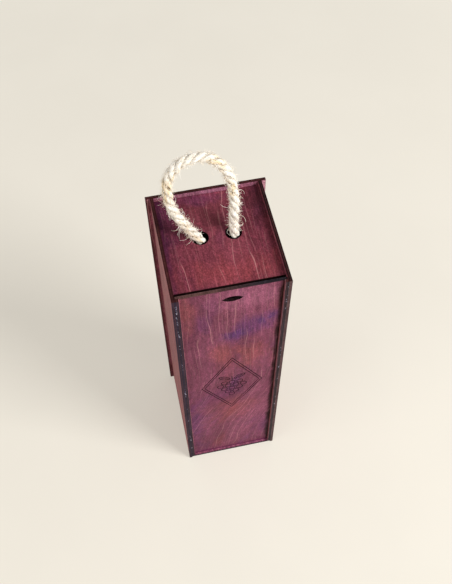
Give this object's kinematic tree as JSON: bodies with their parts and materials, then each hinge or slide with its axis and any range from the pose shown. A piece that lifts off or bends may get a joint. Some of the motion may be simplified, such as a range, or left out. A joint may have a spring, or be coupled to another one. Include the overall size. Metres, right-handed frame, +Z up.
{
  "type": "wine box",
  "caption": "Upright plywood gift box for one wine bottle, with a front lid that slides up out of a groove and a knotted rope handle.",
  "frame": {"origin": "middle of the footprint, on the surface the box stands on", "axes": "+X to the right as the lid is seen from in front, +Y to the back, +Z up along the lid's travel"},
  "size_m": [0.108, 0.112, 0.4162],
  "materials": {
    "stained_plywood": "thin plywood with a mahogany stain, its cut edges burnt nearly black",
    "lid_plywood": "thin plywood with a plum stain, its engraving and cut edges burnt dark",
    "natural_rope": "three-strand rope of pale plant fibre with loose hairs"
  },
  "bodies": {
    "box": {"back_panel": "stained_plywood", "left_side": "stained_plywood", "right_side": "stained_plywood", "bottom_panel": "stained_plywood", "top_panel": "stained_plywood", "left_front_strip": "stained_plywood", "right_front_strip": "stained_plywood", "left_inner_rail": "stained_plywood", "right_inner_rail": "stained_plywood", "rope_handle": "natural_rope", "left_rope_knot": "natural_rope", "right_rope_knot": "natural_rope"},
    "lid": {"sliding_lid": "lid_plywood"}
  },
  "joints": [
    {"name": "lid_slide", "type": "slide", "parent": "box", "child": "lid", "axis": [0, 0, 1], "range_m": [0, 0.35]}
  ]
}
